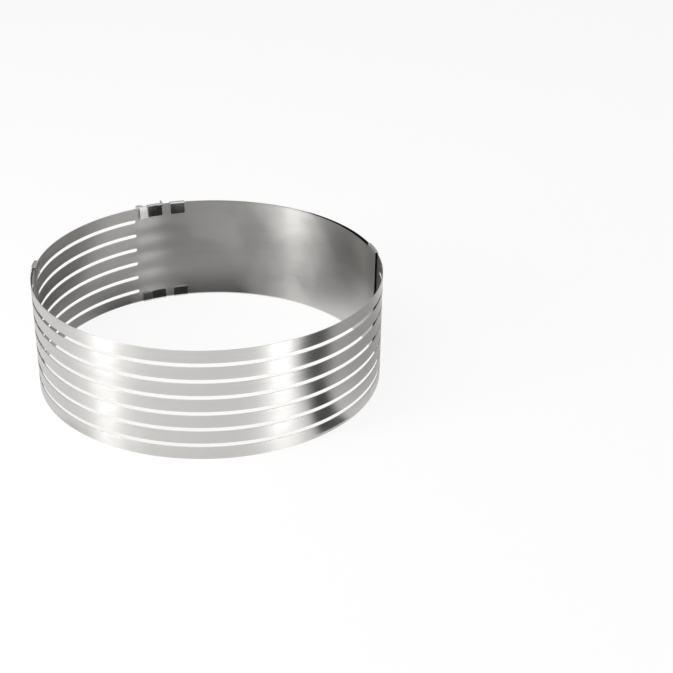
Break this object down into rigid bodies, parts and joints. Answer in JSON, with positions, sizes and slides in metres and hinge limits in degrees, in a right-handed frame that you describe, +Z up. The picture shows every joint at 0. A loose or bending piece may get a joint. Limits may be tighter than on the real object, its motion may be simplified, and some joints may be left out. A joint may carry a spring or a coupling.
{
  "type": "adjustable cake ring",
  "caption": "Round stainless ring of two slotted bands, one sliding inside the other under riveted rim clips, with a lock slide and finger tab, for cutting a cake into even layers.",
  "frame": {"origin": "centre of the ring at its lower rim, on the surface that it stands on", "axes": "+Z up along the ring's axis, +Y to the back where the clips are, +X to the right as seen from the front"},
  "size_m": [0.2619, 0.2632, 0.0859],
  "materials": {
    "band_steel": "brushed along the band",
    "clip_steel": "bright rolled sheet",
    "rivet_steel": "satin"
  },
  "bodies": {
    "outer_ring": {"outer_band": "band_steel", "finger_tab": "clip_steel", "upper_clip_1": "clip_steel", "upper_clip_2": "clip_steel", "lower_clip_1": "clip_steel", "lower_clip_2": "clip_steel", "far_upper_clip": "clip_steel", "far_lower_clip": "clip_steel", "rivet_upper_clip_1_1": "rivet_steel", "rivet_upper_clip_1_2": "rivet_steel", "rivet_upper_clip_2_1": "rivet_steel", "rivet_upper_clip_2_2": "rivet_steel", "rivet_lower_clip_1_1": "rivet_steel", "rivet_lower_clip_1_2": "rivet_steel", "rivet_lower_clip_2_1": "rivet_steel", "rivet_lower_clip_2_2": "rivet_steel", "rivet_far_upper_clip_1": "rivet_steel", "rivet_far_upper_clip_2": "rivet_steel", "rivet_far_lower_clip_1": "rivet_steel", "rivet_far_lower_clip_2": "rivet_steel", "rivet_finger_tab_1": "rivet_steel", "rivet_finger_tab_2": "rivet_steel"},
    "inner_ring": {"inner_band": "band_steel"},
    "slide": {"lock_slide": "clip_steel", "lip_rod": "rivet_steel"}
  },
  "joints": [
    {"name": "band_slide", "type": "hinge", "parent": "outer_ring", "child": "inner_ring", "pos_m": [0, 0, 0], "axis": [0, 0, 1], "range_deg": [-14, 55]},
    {"name": "lock_slide_travel", "type": "hinge", "parent": "outer_ring", "child": "slide", "pos_m": [0, 0, 0], "axis": [0, 0, 1], "range_deg": [0, 45]}
  ]
}
